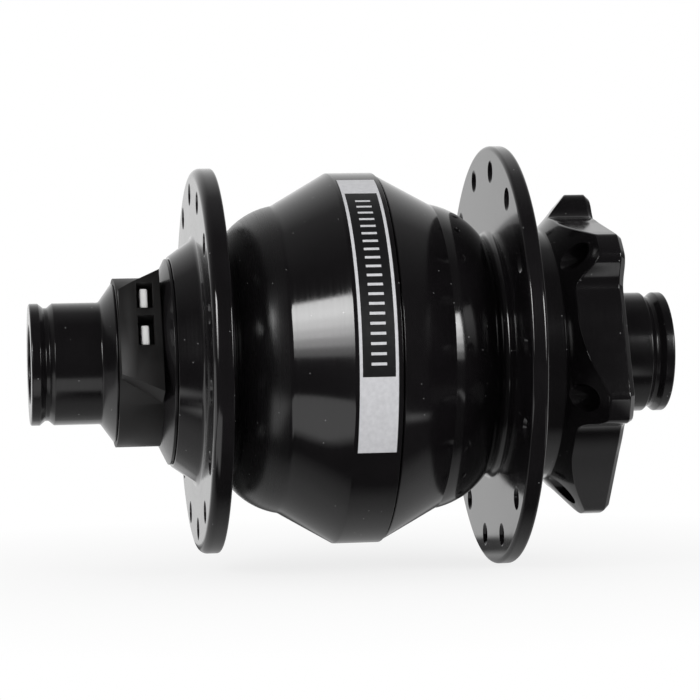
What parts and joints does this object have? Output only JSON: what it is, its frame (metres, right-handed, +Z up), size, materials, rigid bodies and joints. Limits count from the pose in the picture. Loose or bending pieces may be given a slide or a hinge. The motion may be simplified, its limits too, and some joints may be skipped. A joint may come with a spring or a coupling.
{
  "type": "hub dynamo",
  "caption": "Black front bicycle hub dynamo: spoke flanges, barrel shell, lobed brake-disc carrier, through-axle end caps and bladed connector; the shell spins on bearings round a stator.",
  "frame": {"origin": "on the axle line, midway between the two fork faces", "axes": "+Y along the axle from the connector side to the brake disc side, +Z up"},
  "size_m": [0.0657, 0.1, 0.0656],
  "materials": {
    "black_anodised": "gloss black anodised",
    "bare_aluminium": "machined",
    "black_plastic": "fine matte",
    "ivory_plastic": "plain",
    "tinned_brass": "bright tinned",
    "red_lead": "insulated",
    "black_lead": "insulated",
    "copper_coil": "enamelled copper wire",
    "zinc_steel": "zinc plated",
    "stator_iron": "bare pressed iron",
    "magnet": "nickel plated",
    "bearing_steel": "ground",
    "ball_steel": "polished",
    "cage": "pressed",
    "black_rubber": "soft"
  },
  "bodies": {
    "axle_assembly": {"axle_tube": "bare_aluminium", "connector_end_cap": "black_anodised", "disc_end_cap": "black_anodised", "connector_housing": "black_plastic", "terminal_upper": "tinned_brass", "terminal_lower": "tinned_brass", "lead_strip_upper": "red_lead", "lead_strip_lower": "black_lead", "dust_cover": "black_anodised", "connector_spacer": "bare_aluminium", "disc_spacer": "bare_aluminium", "stator_nut_connector": "zinc_steel", "stator_nut_disc": "zinc_steel", "claw_pole_connector": "stator_iron", "claw_pole_disc": "stator_iron", "stator_yoke": "stator_iron", "stator_key": "zinc_steel", "coil_bobbin": "ivory_plastic", "coil_winding": "copper_coil", "connector_inner_race": "bearing_steel", "disc_inner_race": "bearing_steel"},
    "shell": {"hub_shell": "black_anodised", "disc_shell": "black_anodised", "joint_seal": "black_rubber", "back_iron_ring": "stator_iron", "magnets": "magnet", "connector_outer_race": "bearing_steel", "disc_outer_race": "bearing_steel", "connector_seal_outer": "black_rubber", "connector_seal_inner": "black_rubber", "disc_seal_inner": "black_rubber", "disc_seal_outer": "black_rubber", "disc_circlip": "zinc_steel", "disc_dust_seal": "black_rubber"},
    "connector_cage_set": {"connector_cage": "cage", "connector_balls": "ball_steel"},
    "disc_cage_set": {"disc_cage": "cage", "disc_balls": "ball_steel"}
  },
  "joints": [
    {"name": "shell_spin", "type": "hinge", "parent": "axle_assembly", "child": "shell", "pos_m": [0, 0, 0], "axis": [0, 1, 0], "continuous": true},
    {"name": "connector_cage_spin", "type": "hinge", "parent": "axle_assembly", "child": "connector_cage_set", "pos_m": [0, 0, 0], "axis": [0, 1, 0], "continuous": true},
    {"name": "disc_cage_spin", "type": "hinge", "parent": "axle_assembly", "child": "disc_cage_set", "pos_m": [0, 0, 0], "axis": [0, 1, 0], "continuous": true}
  ],
  "couplings": [
    {"joint": "connector_cage_spin", "follows": "shell_spin", "ratio": 0.58447},
    {"joint": "disc_cage_spin", "follows": "shell_spin", "ratio": 0.58447}
  ]
}
